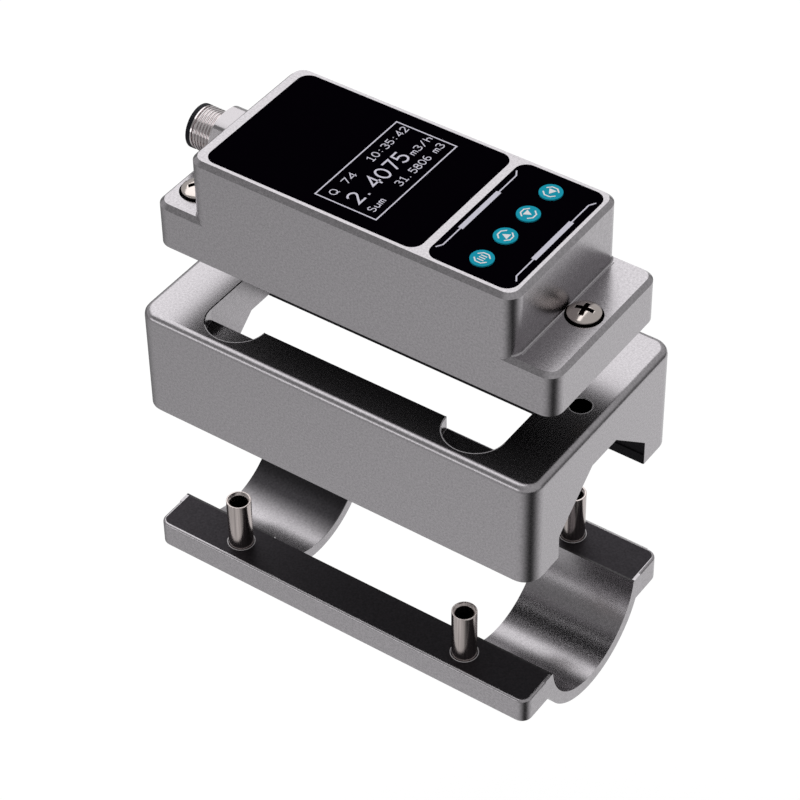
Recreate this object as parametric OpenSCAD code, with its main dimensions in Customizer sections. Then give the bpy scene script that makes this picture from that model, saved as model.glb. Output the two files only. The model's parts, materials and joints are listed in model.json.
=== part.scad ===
// Clamp-on ultrasonic flow meter, shown apart as display head, bracket and lower clamp.
// X runs along the clamped line, Z is up, and the origin lies on the axis of the round seat.

/* [Seat] */
// Diameter of the round seat in the saddles
seat_d = 40; // [34:0.5:44]
// Height of the seat's axis above the clamp bars
seat_rise = 2; // [0:0.1:3]
// Length of each saddle
saddle_l = 30; // [15:1:36]
// Wall of the saddles
saddle_wall = 3.5; // [3:0.5:5]
// Gap between bars and bracket when the meter is tight on a line of the seat's size
pinch_gap = 3.5; // [1:0.1:4]

/* [Lower clamp] */
// Length of the lower clamp
clamp_l = 119.5; // [110:0.5:140]
// Width of each clamp bar
bar_w = 12.4; // [10.6:0.2:16]
// Thickness of the clamp bars
bar_t = 7.5; // [6:0.5:10]
// Flat land between the seat and each bar
bar_land = 0.5; // [0.2:0.1:1]
// Radius of the clamp's outer corners in plan
clamp_corner_r = 3; // [2:0.5:6]
// Radius along the top edges of the bars
clamp_edge_r = 0.8; // [0.4:0.1:1.2]

/* [Sleeve nuts] */
// Outer diameter of the sleeve nuts
sleeve_d = 6.8; // [6.5:0.1:7.6]
// Height of the sleeve nuts above the bars
sleeve_rise = 15.4; // [10:0.2:18]
// Distance between the sleeve nuts along a bar
sleeve_pitch = 72.8; // [66:0.2:80]
// Diameter of the sleeve nuts' flange
flange_d = 9.8; // [9:0.2:10.2]
// Thickness of the sleeve nuts' flange
flange_t = 2; // [1.5:0.5:3]
// Hexagon socket in the sleeve nuts, across flats
nut_key_af = 4; // [2.5:0.5:4]
// Depth of the hexagon socket
nut_key_depth = 1.8; // [1:0.2:2.2]
// Diameter of the studs in the bracket's legs
stud_d = 4.5; // [4:0.1:4.8]

/* [Bracket] */
// Length of the bracket
bracket_l = 121; // [110:1:140]
// Height of the bracket
bracket_h = 32.2; // [30:0.2:44]
// Thickness of the bracket's legs
leg_t = 12.8; // [10.6:0.2:14]
// Clearance between the seat's width and each leg
groove_side = 0.25; // [0:0.05:0.5]
// Width of the flat at the top of the V groove
groove_flat = 11.2; // [8:0.2:16]
// Slope of the V groove's faces in degrees
groove_slope = 40.5; // [38:0.5:45]
// Length of the window in the bracket
window_l = 89.6; // [84:0.2:92]
// Width of the window in the bracket
window_w = 43.5; // [41:0.5:44]
// Radius of the round pockets at the window's corners
pocket_r = 8.4; // [6:0.1:9]
// Depth of the round pockets
pocket_depth = 4; // [2:0.5:6]
// Radius of the bracket's upright corners
bracket_corner_r = 5; // [3:0.5:6]
// Radius along the bracket's top edges
bracket_edge_r = 2.1; // [0.6:0.1:2.4]

/* [Head] */
// Length of the head over its ears
head_l = 120; // [118:1:130]
// Width of the head
head_w = 47.2; // [44:0.2:56]
// Height of the head
head_h = 32; // [32:0.5:40]
// Length of the raised box
box_l = 96.2; // [94:0.2:97]
// Height of the screw ears
ear_h = 13.2; // [11:0.2:14]
// Wall of the head
head_wall = 3.4; // [2.5:0.1:3.6]
// Radius of the head's upright corners
head_corner_r = 4.2; // [3:0.2:5]
// Chamfer along the head's top edges
head_chamfer = 1.2; // [0.5:0.1:1.8]
// Radius of the hollow fillet where the box meets the ears
ear_fillet_r = 0.5; // [0.3:0.1:1]

/* [Panels] */
// Width of the silver rim along the panels
rim_w = 2.2; // [2:0.1:3.2]
// Width of the silver rim at the connector's end
plug_rim_w = 3.6; // [2.4:0.1:4]
// Width of the silver bar between the panels
panel_bar_w = 2.3; // [2:0.1:5]
// Length of the key panel along the head
key_panel_l = 24.7; // [20:0.1:26]
// Corner radius of both panels
panel_r = 3.4; // [2:0.2:4]
// Thickness of both panels
panel_t = 1; // [0.8:0.1:1.2]
// How far the panels lie below the rim
panel_sink = 0.2; // [0.1:0.05:0.4]
// Diameter of a key
key_d = 6; // [5:0.2:7]
// Distance between keys
key_pitch = 10; // [8.5:0.1:10]
// Travel of a key
key_travel = 0.3; // [0.2:0.05:0.4]

/* [Connector] */
// Diameter of the connector's thread
plug_d = 12; // [12:0.1:12.4]
// Height of the connector's axis above the head's underside
plug_h = 21; // [21:0.2:22]
// Distance of the connector's free end from the box
plug_reach = 14.6; // [13:0.1:20]
// Hexagon of the connector, across flats
plug_hex_af = 15.4; // [14:0.1:15.4]
// Thickness of the connector's hexagon
plug_hex_t = 5.2; // [3:0.2:6]

/* [Transducers] */
// Distance between the two wedges
wedge_pitch = 44; // [40:1:48]
// Length of a wedge's foot
wedge_l = 24; // [18:1:26]
// Width of a wedge
wedge_w = 10; // [8:0.5:10]
// Diameter of a crystal
crystal_d = 8; // [6:0.5:8.5]
// Thickness of a crystal
crystal_t = 0.8; // [0.5:0.1:1]
// Thickness of a coupling pad
pad_t = 1.2; // [0.8:0.1:2]

/* [Screws] */
// Diameter of the head's screws
screw_d = 4; // [3:0.5:4.5]
// Diameter of their raised heads
screw_head_d = 8.6; // [7:0.1:9]
// Height of their raised heads
screw_head_h = 4.2; // [3.8:0.1:4.6]
// Height of the heads' tapered underside
screw_under_h = 2.3; // [1.8:0.1:2.5]
// Diameter of the counterbores in the ears
counterbore_d = 9.8; // [9.4:0.1:11]
// Depth of the counterbores in the ears
counterbore_depth = 2; // [1.5:0.1:3]
// Distance of the screws from the middle of the head
screw_x = 53.1; // [52.7:0.1:53.5]
// Distance of the housing screws from the head's centre line
screw_y = 13.8; // [10:0.1:15]
// How far the fixing screw reaches below the head
fixing_reach = 8; // [6:0.5:9]

/* [Shown apart] */
// Gap between the bars and the bracket's legs as shown
bracket_lift = 43.5; // [30:0.5:60]
// Gap between the bracket and the head as shown
head_lift = 16.4; // [15.6:0.1:40]

/* [Hidden] */
$fn = 64;

// Clearance of seated round fits, gap of loose parts and overrun of cuts
fit = 0.05;
loose = 0.2;
over = 1;

// Steps of a rounded edge, and faces of a corner that is hulled
edge_angles = [0, 22.5, 45, 67.5, 90];
hull_fn = 32;

// Lower clamp
seat_r = seat_d / 2;
clamp_top = -seat_rise;
clamp_bottom = clamp_top - bar_t;
bar_inner = seat_r + bar_land;
clamp_w = 2 * (bar_inner + bar_w);
sleeve_x = sleeve_pitch / 2;
sleeve_share = 0.47;
sleeve_y = bar_inner + bar_w * sleeve_share;
sleeve_bore_d = stud_d + 4 * fit;
sleeve_lip = 0.6;
nut_web = 1;
foot_chamfer = 0.4;

// Bracket
groove_half = seat_r + groove_side;
bracket_w = 2 * (groove_half + leg_t);
bracket_shut = clamp_top + pinch_gap;
bracket_z = clamp_top + bracket_lift;
bracket_top = bracket_z + bracket_h;
groove_top = (seat_r - sin(groove_slope) * groove_flat / 2) / cos(groove_slope) - bracket_shut;
groove_shoulder = groove_top - (groove_half - groove_flat / 2) * tan(groove_slope);
recess_d = sleeve_d + 2 * loose;
recess_depth = sleeve_rise - pinch_gap + over;
stud_grip = 8;
stud_start = 2.5;
mouth_d = 5.6;
mouth_depth = 2;
mouth_chamfer = 0.2;

// Head
head_z = bracket_top + head_lift;
cavity_l = box_l - 2 * head_wall;
cavity_w = head_w - 2 * head_wall;
cavity_r = 2;
panel_w = head_w - 2 * rim_w;
panel_floor = head_h - panel_sink - panel_t;
roof_t = 2.2;
cavity_top = panel_floor - roof_t;
key_panel_x = box_l / 2 - rim_w - key_panel_l / 2;
display_panel_l = box_l - plug_rim_w - rim_w - panel_bar_w - key_panel_l;
display_panel_x = plug_rim_w + display_panel_l / 2 - box_l / 2;
key_x = key_panel_x;

// Base of the head
base_t = 2.6;
gasket_t = 0.7;
gasket_w = 2;
base_side = 2;
base_l = head_l - 2 * base_side;
base_w = head_w - 2 * base_side;
base_r = 2.5;
base_top = base_t + gasket_t;
bolt_seat = ear_h - counterbore_depth;
tip_gap = 0.3;
dome_share = 0.89;
under_share = 0.7;
slot_shares = [0.56, 0.14];
slot_floor_share = 0.5;
fixing_turn = 8;

// Transducers: the carrier reaches down to the line that the seat is made for
carrier_depth = bracket_shut + bracket_h + loose / 2 - seat_r;
carrier_rim = 3;
carrier_roof = 1.5;
carrier_l = wedge_pitch + wedge_l + 2 * carrier_rim;
carrier_w = 14;
carrier_flange_t = 1.4;
carrier_flange_w = 22;
wedge_h = carrier_depth - pad_t - carrier_flange_t - carrier_roof;
wedge_foot_share = 0.3;
wedge_crest_shares = [0.02, 0.3];
wedge_angle = atan2(wedge_h * (1 - wedge_foot_share), wedge_l * (0.5 - wedge_crest_shares[0]));
carrier_screw_x = 5;
carrier_screw_d = 2.5;
carrier_screw_l = 5;

// Boards
board_t = 1.6;
board_gap = 3.7;
board_side = 3.2;
plug_space = 11.7;
board_stand = 4.7;
board_w = cavity_w - 2 * board_side;
power_board_z = base_top + board_stand;
power_board_l = cavity_l - 2 * board_gap;
display_t = 2.5;
display_frame_t = 6.6;
main_board_z = panel_floor - fit - display_t - display_frame_t - board_t;
main_board_l = cavity_l - board_gap - plug_space;
main_board_x = (plug_space - board_gap) / 2;
pillar_af = 4;
pillar_x = 24;
pillar_y = 14.2;
board_screw_d = 2.5;
board_screw_bite = 1.6;
header_l = 20;
header_w = 5;
header_x = -4;
chip_sizes = [[12, 12, 1.6], [8, 6, 1.6], [6, 10, 2.4]];
chip_x_shares = [-0.3, -0.02, 0.2];
chip_y_shares = [-0.1, 0.12, -0.12];
display_l = 20;
display_w = 35.4;
display_x = -4.4;
switch_w = 6;
switch_h = 4.6;
stem_d = 3;

// Connector
plug_seal_t = 1;
plug_wall_d = 12;
plug_tail = 4.6;
locknut_t = 3;
locknut_af = plug_hex_af - 2 * loose;
insert_d = 10;
insert_bore_d = 8.6;
insert_rim_t = 1.2;
insert_depth = 7;
insert_l = 10;
pin_d = 1;
pin_circle_d = 6;
pin_l = 5;

// Rounded rectangle about the origin
module plan(l, w, r) {
    square([l - 2 * r, w], center = true);
    square([l, w - 2 * r], center = true);
    for (x = [-1, 1], y = [-1, 1])
        translate([x * (l / 2 - r), y * (w / 2 - r)]) circle(r);
}

// Block with upright corners of radius r and top edges of radius e
module soft_block(l, w, h, r, e) {
    hull() for (a = edge_angles) {
        inset = e * (1 - cos(a));
        linear_extrude(h - e * (1 - sin(a)))
            plan(l - 2 * inset, w - 2 * inset, r - inset, $fn = hull_fn);
    }
}

// Block with upright corners of radius r and top edges chamfered by c
module chamfer_block(l, w, h, r, c) {
    hull() {
        linear_extrude(h - c) plan(l, w, r, $fn = hull_fn);
        linear_extrude(h) plan(l - 2 * c, w - 2 * c, r - c, $fn = hull_fn);
    }
}

// Cylinder along X that starts at x
module rod_x(d, x, l) {
    translate([x, 0, 0]) rotate([0, 90, 0]) cylinder(d = d, h = l);
}

// Copies at the four places (x, y), (-x, y), (x, -y) and (-x, -y)
module four(x, y) {
    for (i = [-1, 1], j = [-1, 1]) translate([i * x, j * y, 0]) children();
}

module head_place() {
    translate([0, 0, head_z]) children();
}

// Two bars joined by two round saddles
module lower_clamp() {
    hole_d = sleeve_d + 2 * fit;
    color("silver") difference() {
        union() {
            difference() {
                translate([0, 0, clamp_bottom])
                    soft_block(clamp_l, clamp_w, bar_t, clamp_corner_r, clamp_edge_r);
                translate([-clamp_l / 2 - over, -bar_inner, clamp_bottom - over])
                    cube([clamp_l + 2 * over, 2 * bar_inner, bar_t + 2 * over]);
            }
            for (s = [0, 1]) mirror([s, 0, 0]) saddle();
        }
        four(sleeve_x, sleeve_y) translate([0, 0, clamp_bottom]) {
            translate([0, 0, -over]) cylinder(d = hole_d, h = bar_t + 2 * over);
            translate([0, 0, -seat_r]) cylinder(d = flange_d + 2 * loose, h = flange_t + seat_r);
            translate([0, 0, bar_t - foot_chamfer])
                cylinder(d1 = hole_d, d2 = hole_d + 2 * foot_chamfer, h = foot_chamfer);
        }
    }
}

// Half round trough at one end of the clamp
module saddle() {
    x = clamp_l / 2 - saddle_l;
    difference() {
        rod_x(2 * (seat_r + saddle_wall), x, saddle_l);
        rod_x(seat_d, x - over, saddle_l + 2 * over);
        translate([x - over, -seat_d, clamp_top])
            cube([saddle_l + 2 * over, 2 * seat_d, seat_d]);
    }
}

module sleeve_nut() {
    difference() {
        union() {
            cylinder(d = sleeve_d, h = bar_t + sleeve_rise);
            cylinder(d = flange_d, h = flange_t);
        }
        translate([0, 0, nut_key_depth + nut_web])
            cylinder(d = sleeve_bore_d, h = bar_t + sleeve_rise);
        translate([0, 0, bar_t + sleeve_rise - sleeve_lip])
            cylinder(d1 = sleeve_bore_d, d2 = sleeve_bore_d + 2 * sleeve_lip, h = sleeve_lip);
        translate([0, 0, -over])
            cylinder(d = nut_key_af / cos(30), h = nut_key_depth + over, $fn = 6);
    }
}

module sleeve_nuts() {
    color("gainsboro") four(sleeve_x, sleeve_y) translate([0, 0, clamp_bottom]) sleeve_nut();
}

// Section of the V groove, from the legs' feet up
module groove_section() {
    polygon([
        [-groove_half, -over], [-groove_half, groove_shoulder], [-groove_flat / 2, groove_top],
        [groove_flat / 2, groove_top], [groove_half, groove_shoulder], [groove_half, -over]
    ]);
}

module bracket() {
    color("silver") translate([0, 0, bracket_z]) difference() {
        soft_block(bracket_l, bracket_w, bracket_h, bracket_corner_r, bracket_edge_r);
        translate([-bracket_l / 2 - over, 0, 0]) rotate([90, 0, 90])
            linear_extrude(bracket_l + 2 * over) groove_section();
        translate([-window_l / 2, -window_w / 2, -over])
            cube([window_l, window_w, bracket_h + 2 * over]);
        four(sleeve_x, window_w / 2) translate([0, 0, bracket_h - pocket_depth])
            cylinder(r = pocket_r, h = pocket_depth + over);
        four(sleeve_x, sleeve_y) {
            translate([0, 0, -over]) cylinder(d = recess_d, h = recess_depth + over);
            cylinder(d = stud_d + 2 * fit, h = recess_depth + stud_grip + fit);
        }
        translate([screw_x, 0, 0]) {
            cylinder(d = screw_d + 2 * fit, h = bracket_h + over);
            translate([0, 0, bracket_h - mouth_depth]) cylinder(d = mouth_d, h = mouth_depth + over);
            translate([0, 0, bracket_h - mouth_chamfer])
                cylinder(d1 = mouth_d, d2 = mouth_d + 2 * mouth_chamfer, h = mouth_chamfer);
        }
    }
}

module clamp_studs() {
    color("dimgray") four(sleeve_x, sleeve_y) translate([0, 0, bracket_z + stud_start])
        cylinder(d = stud_d, h = recess_depth + stud_grip - stud_start);
}

// Hollow fillet round the foot of the raised box at the +X end
module ear_fillet() {
    f = ear_fillet_r;
    r = head_corner_r;
    x = box_l / 2;
    y = head_w / 2;
    intersection() {
        union() {
            translate([x, y - r, ear_h]) rotate([90, 0, 0]) linear_extrude(2 * (y - r)) fillet_section();
            for (s = [-1, 1]) translate([x - r, s * (y - r), ear_h])
                rotate([0, 0, s * 45 - 45]) rotate_extrude(angle = 90)
                    translate([r, 0]) fillet_section();
        }
        translate([x - r, -y + head_chamfer, 0])
            cube([r + 2 * f, 2 * (y - head_chamfer), ear_h + 2 * f]);
    }
}

module fillet_section() {
    f = ear_fillet_r;
    difference() {
        translate([-f, -f]) square(2 * f);
        translate([f, f]) circle(f);
    }
}

module ear_holes(x, y) {
    translate([x, y, 0]) {
        translate([0, 0, -over]) cylinder(d = screw_d + 2 * loose, h = ear_h + 2 * over);
        translate([0, 0, bolt_seat]) cylinder(d = counterbore_d, h = counterbore_depth + over);
    }
}

module head_housing() {
    color("silver") head_place() difference() {
        union() {
            chamfer_block(head_l, head_w, ear_h, head_corner_r, head_chamfer);
            chamfer_block(box_l, head_w, head_h, head_corner_r, head_chamfer);
            for (s = [0, 1]) mirror([s, 0, 0]) ear_fillet();
        }
        translate([0, 0, -over]) linear_extrude(base_top + over)
            plan(base_l + 2 * fit, base_w + 2 * fit, base_r);
        linear_extrude(cavity_top) plan(cavity_l, cavity_w, cavity_r);
        translate([display_panel_x, 0, panel_floor]) linear_extrude(head_h)
            plan(display_panel_l + 2 * fit, panel_w + 2 * fit, panel_r);
        translate([key_panel_x, 0, panel_floor]) linear_extrude(head_h)
            plan(key_panel_l + 2 * fit, panel_w + 2 * fit, panel_r);
        translate([display_x, 0, head_h / 2]) linear_extrude(head_h)
            square([display_l + 2 * loose, display_w + 2 * loose], center = true);
        for (i = [0 : 3]) translate([key_x, key_y(i), head_h / 2])
            cylinder(d = stem_d + 2 * loose, h = head_h);
        translate([0, 0, plug_h]) rod_x(plug_wall_d + 2 * fit, -box_l / 2 - over, head_wall + 2 * over);
        ear_holes(screw_x, 0);
        for (y = [-1, 1]) ear_holes(-screw_x, y * screw_y);
    }
}

function key_y(i) = (i - 1.5) * key_pitch;

module display_panel() {
    color("black") head_place() translate([display_panel_x, 0, panel_floor])
        linear_extrude(panel_t) plan(display_panel_l, panel_w, panel_r);
}

module key_panel() {
    color("black") head_place() translate([key_panel_x, 0, panel_floor]) linear_extrude(panel_t)
        difference() {
            plan(key_panel_l, panel_w, panel_r);
            for (i = [0 : 3]) translate([0, key_y(i)]) circle(d = key_d + 2 * fit);
        }
}

// Round cap with a stem that reaches down to its switch
module key(i) {
    rest = panel_floor + key_travel + fit;
    stem_l = rest - main_board_z - board_t - switch_h - key_travel - fit;
    color("teal") head_place() translate([key_x, key_y(i), rest]) {
        cylinder(d = key_d, h = panel_t);
        translate([0, 0, -stem_l]) cylinder(d = stem_d, h = stem_l + panel_t / 2);
    }
}

module key_menu() { key(0); }
module key_up() { key(1); }
module key_down() { key(2); }
module key_enter() { key(3); }

module key_switches() {
    color("dimgray") head_place() for (i = [0 : 3])
        translate([key_x, key_y(i), main_board_z + board_t]) {
            linear_extrude(switch_h - fit) square(switch_w, center = true);
            cylinder(d = stem_d, h = switch_h);
        }
}

module base_plate() {
    color("darkslategray") head_place() difference() {
        linear_extrude(base_t) plan(base_l, base_w, base_r);
        for (y = [-1, 1]) translate([-screw_x, y * screw_y, -over])
            cylinder(d = screw_d + 2 * fit, h = base_t + 2 * over);
        translate([screw_x, 0, -over]) cylinder(d = screw_d + 2 * loose, h = base_t + 2 * over);
        for (s = [-1, 1]) translate([s * carrier_screw_x, 0, -over])
            cylinder(d = carrier_screw_d + 2 * fit, h = base_t + 2 * over);
        four(pillar_x, pillar_y) translate([0, 0, base_t - board_screw_bite - loose])
            cylinder(d = board_screw_d + 2 * fit, h = base_t);
    }
}

module base_gasket() {
    color("black") head_place() translate([0, 0, base_t]) linear_extrude(gasket_t)
        difference() {
            plan(cavity_l + 2 * gasket_w, base_w, base_r);
            plan(cavity_l + loose, cavity_w + loose, cavity_r);
        }
}

// Screw with a raised head and a cross recess, its seat at z = 0
module raised_screw(l) {
    slot_l = screw_head_d * slot_shares[0];
    slot_w = screw_head_d * slot_shares[1];
    dome_r = screw_head_d * dome_share;
    difference() {
        union() {
            translate([0, 0, -l]) cylinder(d = screw_d, h = l);
            cylinder(d1 = screw_head_d * under_share, d2 = screw_head_d, h = screw_under_h);
            intersection() {
                translate([0, 0, screw_under_h])
                    cylinder(d = screw_head_d, h = screw_head_h - screw_under_h);
                translate([0, 0, screw_head_h - dome_r]) sphere(dome_r);
            }
        }
        for (a = [0, 90]) rotate([0, 0, a])
            translate([-slot_l / 2, -slot_w / 2, screw_head_h * slot_floor_share])
                cube([slot_l, slot_w, screw_head_h]);
    }
}
module housing_screws() {
    color("silver") head_place() for (y = [-1, 1]) translate([-screw_x, y * screw_y, bolt_seat])
        rotate([0, 0, 45 * y]) raised_screw(bolt_seat - tip_gap);
}

module fixing_screw() {
    color("silver") head_place() translate([screw_x, 0, bolt_seat])
        rotate([0, 0, fixing_turn]) raised_screw(bolt_seat + fixing_reach);
}

// Wedge outline from its foot at y = 0, with the crystal's slope at -X
module wedge_section() {
    polygon([
        [-wedge_l / 2, 0], [wedge_l / 2, 0], [wedge_l * wedge_crest_shares[1], wedge_h],
        [-wedge_l * wedge_crest_shares[0], wedge_h], [-wedge_l / 2, wedge_h * wedge_foot_share]
    ]);
}

module wedge_place(s) {
    head_place() translate([s * wedge_pitch / 2, 0, pad_t - carrier_depth]) mirror([s > 0 ? 1 : 0, 0, 0])
        children();
}

module wedge() {
    translate([0, wedge_w / 2, 0]) rotate([90, 0, 0]) linear_extrude(wedge_w) wedge_section();
}

// Round crystal bonded to the middle of the wedge's slope
module crystal() {
    x = -wedge_l * (0.5 + wedge_crest_shares[0]) / 2;
    z = wedge_h * (1 + wedge_foot_share) / 2;
    translate([x, 0, z]) rotate([0, -wedge_angle, 0]) cylinder(d = crystal_d, h = crystal_t);
}

module wedge_upstream() { color("khaki") wedge_place(-1) wedge(); }
module wedge_downstream() { color("khaki") wedge_place(1) wedge(); }
module crystal_upstream() { color("white") wedge_place(-1) crystal(); }
module crystal_downstream() { color("white") wedge_place(1) crystal(); }

// Long housing of both wedges, hung under the base plate
module transducer_carrier() {
    color("black") head_place() difference() {
        union() {
            translate([0, 0, pad_t - carrier_depth]) linear_extrude(carrier_depth - pad_t)
                plan(carrier_l, carrier_w, cavity_r);
            translate([0, 0, -carrier_flange_t]) linear_extrude(carrier_flange_t)
                plan(carrier_l, carrier_flange_w, cavity_r);
        }
        for (s = [-1, 1]) translate([s * wedge_pitch / 2, 0, -carrier_depth])
            linear_extrude(carrier_depth - carrier_flange_t)
                square([wedge_l + 2 * loose, wedge_w + 2 * loose], center = true);
        for (s = [-1, 1]) translate([s * carrier_screw_x, 0, -carrier_screw_l])
            cylinder(d = carrier_screw_d + 2 * fit, h = 2 * carrier_screw_l);
    }
}

module carrier_screws() {
    head_d = 1.8 * carrier_screw_d;
    color("silver") head_place() for (s = [-1, 1]) translate([s * carrier_screw_x, 0, base_t]) {
        cylinder(d = head_d, h = head_d / 3);
        translate([0, 0, -base_t - carrier_screw_l + fit])
            cylinder(d = carrier_screw_d, h = base_t + carrier_screw_l);
    }
}

module coupling_pads() {
    for (s = [-1, 1]) color("gray") wedge_place(s) translate([0, 0, -pad_t])
        linear_extrude(pad_t) plan(wedge_l, wedge_w, 2 * pad_t);
}

// Board with parts on its upper face
module board(l, x, z, parts) {
    translate([x, 0, z]) difference() {
        union() {
            linear_extrude(board_t) square([l, board_w], center = true);
            for (i = parts) translate([chip_x_shares[i] * l, chip_y_shares[i] * board_w, board_t / 2])
                linear_extrude(board_t / 2 + chip_sizes[i][2])
                    square([chip_sizes[i][0], chip_sizes[i][1]], center = true);
        }
        translate([-x, 0, -over]) four(pillar_x, pillar_y)
            cylinder(d = board_screw_d + 2 * fit, h = board_t + 2 * over);
    }
}

module power_board() {
    color("darkgreen") head_place() board(power_board_l, 0, power_board_z, [0, 1, 2]);
}

module main_board() {
    color("darkgreen") head_place() board(main_board_l, main_board_x, main_board_z, [2]);
}

module board_header() {
    z = power_board_z + board_t;
    color("black") head_place() translate([header_x, board_w / 3, z])
        linear_extrude(main_board_z - z) square([header_l, header_w], center = true);
}

module pillars(z, l) {
    head_place() four(pillar_x, pillar_y) translate([0, 0, z]) difference() {
        cylinder(d = pillar_af / cos(30), h = l, $fn = 6);
        translate([0, 0, -over]) cylinder(d = board_screw_d + 2 * fit, h = l + 2 * over);
    }
}

module lower_pillars() {
    color("gold") pillars(base_t, power_board_z - base_t);
}

module upper_pillars() {
    z = power_board_z + board_t;
    color("gold") pillars(z, main_board_z - z);
}

// Long screws through both boards and their pillars
module board_screws() {
    head_d = 1.8 * board_screw_d;
    z = main_board_z + board_t;
    color("silver") head_place() four(pillar_x, pillar_y) {
        translate([0, 0, z]) cylinder(d = head_d, h = head_d / 3);
        translate([0, 0, base_t - board_screw_bite])
            cylinder(d = board_screw_d, h = z - base_t + board_screw_bite + over);
    }
}

module display_frame() {
    color("dimgray") head_place() translate([display_x, 0, main_board_z + board_t])
        linear_extrude(display_frame_t) difference() {
            square([display_l, display_w - 2 * pillar_af], center = true);
            square([display_l - header_w, display_w / 2], center = true);
        }
}

module display_module() {
    z = main_board_z + board_t + display_frame_t;
    color("midnightblue") head_place() translate([display_x, 0, z])
        linear_extrude(display_t) square([display_l, display_w], center = true);
}

// Hexagon along X whose corners are turned down at its +X face
module nut_x(af, x, l) {
    intersection() {
        hex_x(af, x, l);
        translate([x, 0, 0]) rotate([0, 90, 0])
            cylinder(d1 = af + 2 * l * tan(60), d2 = af, h = l);
    }
}

// Connector parts, with x measured outward from the box's end wall
module plug_place() {
    head_place() translate([-box_l / 2, 0, plug_h]) mirror([1, 0, 0]) children();
}

module hex_x(af, x, l) {
    translate([x, 0, 0]) rotate([30, 0, 0]) rotate([0, 90, 0])
        cylinder(d = af / cos(30), h = l, $fn = 6);
}

// Shell with its hexagon outside the wall, hollow for its insert
module connector_shell() {
    tail_x = -head_wall - plug_tail;
    front = plug_reach - insert_rim_t;
    color("silver") plug_place() difference() {
        union() {
            rod_x(plug_wall_d, tail_x, -tail_x + plug_seal_t + over);
            rod_x(plug_d, plug_seal_t, front - plug_seal_t);
            nut_x(plug_hex_af, plug_seal_t, plug_hex_t);
        }
        rod_x(insert_d + 2 * fit, tail_x - over, front - tail_x + 2 * over);
    }
}

module connector_seal() {
    color("black") plug_place() difference() {
        rod_x(plug_hex_af - 2 * plug_seal_t, 0, plug_seal_t);
        rod_x(plug_wall_d + 2 * fit, -over, plug_seal_t + 2 * over);
    }
}

module connector_locknut() {
    color("silver") plug_place() difference() {
        hex_x(locknut_af, -head_wall - locknut_t, locknut_t);
        rod_x(plug_wall_d + 2 * fit, -head_wall - locknut_t - over, locknut_t + 2 * over);
    }
}

// Black insert with a rim in front of the shell
module connector_insert() {
    color("black") plug_place() difference() {
        union() {
            rod_x(insert_d, plug_reach - insert_l, insert_l);
            rod_x(plug_d, plug_reach - insert_rim_t, insert_rim_t);
        }
        rod_x(insert_bore_d, plug_reach - insert_depth, insert_depth + over);
        pin_holes() rod_x(pin_d + 2 * fit, plug_reach - insert_l - over, insert_l);
    }
}

module pin_holes() {
    for (a = [0 : 90 : 270]) rotate([a, 0, 0]) translate([0, pin_circle_d / 2, 0]) children();
}

module connector_pins() {
    color("gold") plug_place() pin_holes()
        rod_x(pin_d, plug_reach - insert_l - over, insert_l - insert_depth + over + pin_l);
}

lower_clamp();
sleeve_nuts();
bracket();
clamp_studs();
head_housing();
display_panel();
key_panel();
key_menu();
key_up();
key_down();
key_enter();
base_plate();
base_gasket();
housing_screws();
fixing_screw();
transducer_carrier();
carrier_screws();
wedge_upstream();
wedge_downstream();
crystal_upstream();
crystal_downstream();
coupling_pads();
power_board();
main_board();
board_header();
lower_pillars();
upper_pillars();
board_screws();
display_frame();
display_module();
key_switches();
connector_shell();
connector_seal();
connector_locknut();
connector_insert();
connector_pins();
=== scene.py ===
"""Looks of the clamp-on flow meter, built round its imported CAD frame."""
import json
import math

import bpy
from mathutils import Matrix, Vector


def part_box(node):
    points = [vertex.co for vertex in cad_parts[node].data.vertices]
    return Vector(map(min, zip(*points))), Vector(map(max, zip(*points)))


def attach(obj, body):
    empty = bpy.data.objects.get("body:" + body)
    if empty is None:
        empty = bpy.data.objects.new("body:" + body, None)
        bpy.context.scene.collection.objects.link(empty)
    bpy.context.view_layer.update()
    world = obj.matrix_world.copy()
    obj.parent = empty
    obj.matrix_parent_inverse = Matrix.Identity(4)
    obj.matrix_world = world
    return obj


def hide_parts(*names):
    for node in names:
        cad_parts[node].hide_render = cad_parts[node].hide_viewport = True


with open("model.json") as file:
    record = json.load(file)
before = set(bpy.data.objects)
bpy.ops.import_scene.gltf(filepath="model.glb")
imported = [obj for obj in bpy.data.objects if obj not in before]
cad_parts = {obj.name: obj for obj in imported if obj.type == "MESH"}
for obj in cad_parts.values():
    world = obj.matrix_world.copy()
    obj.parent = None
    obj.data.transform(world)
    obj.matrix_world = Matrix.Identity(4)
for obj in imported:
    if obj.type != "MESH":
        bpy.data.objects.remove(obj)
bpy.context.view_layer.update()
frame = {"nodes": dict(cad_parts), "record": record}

MM = 0.001
NODES = frame["nodes"]
RECORD = frame["record"]
SLOT_OF = {part["node"]: part["material_slot"] for part in RECORD["subparts"]}

# Camera, solved from the photograph's straight edges: degrees, and lengths in mm but for the clip in metres
CAMERA_AZIMUTH = 35.461
CAMERA_ELEVATION = 42.480
CAMERA_ROLL = 0.978
CAMERA_DISTANCE = 731.63
CAMERA_TARGET = (17.618, -26.927, 77.801)
CAMERA_LENS = 134.237
SENSOR = 36.0
CAMERA_CLIP = (0.01, 20)

# Materials

NOISE_DETAIL = 2.0
# A face whose normal has less than this along an axis counts as turned away from that axis
TURNED_AWAY = 0.5


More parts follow.
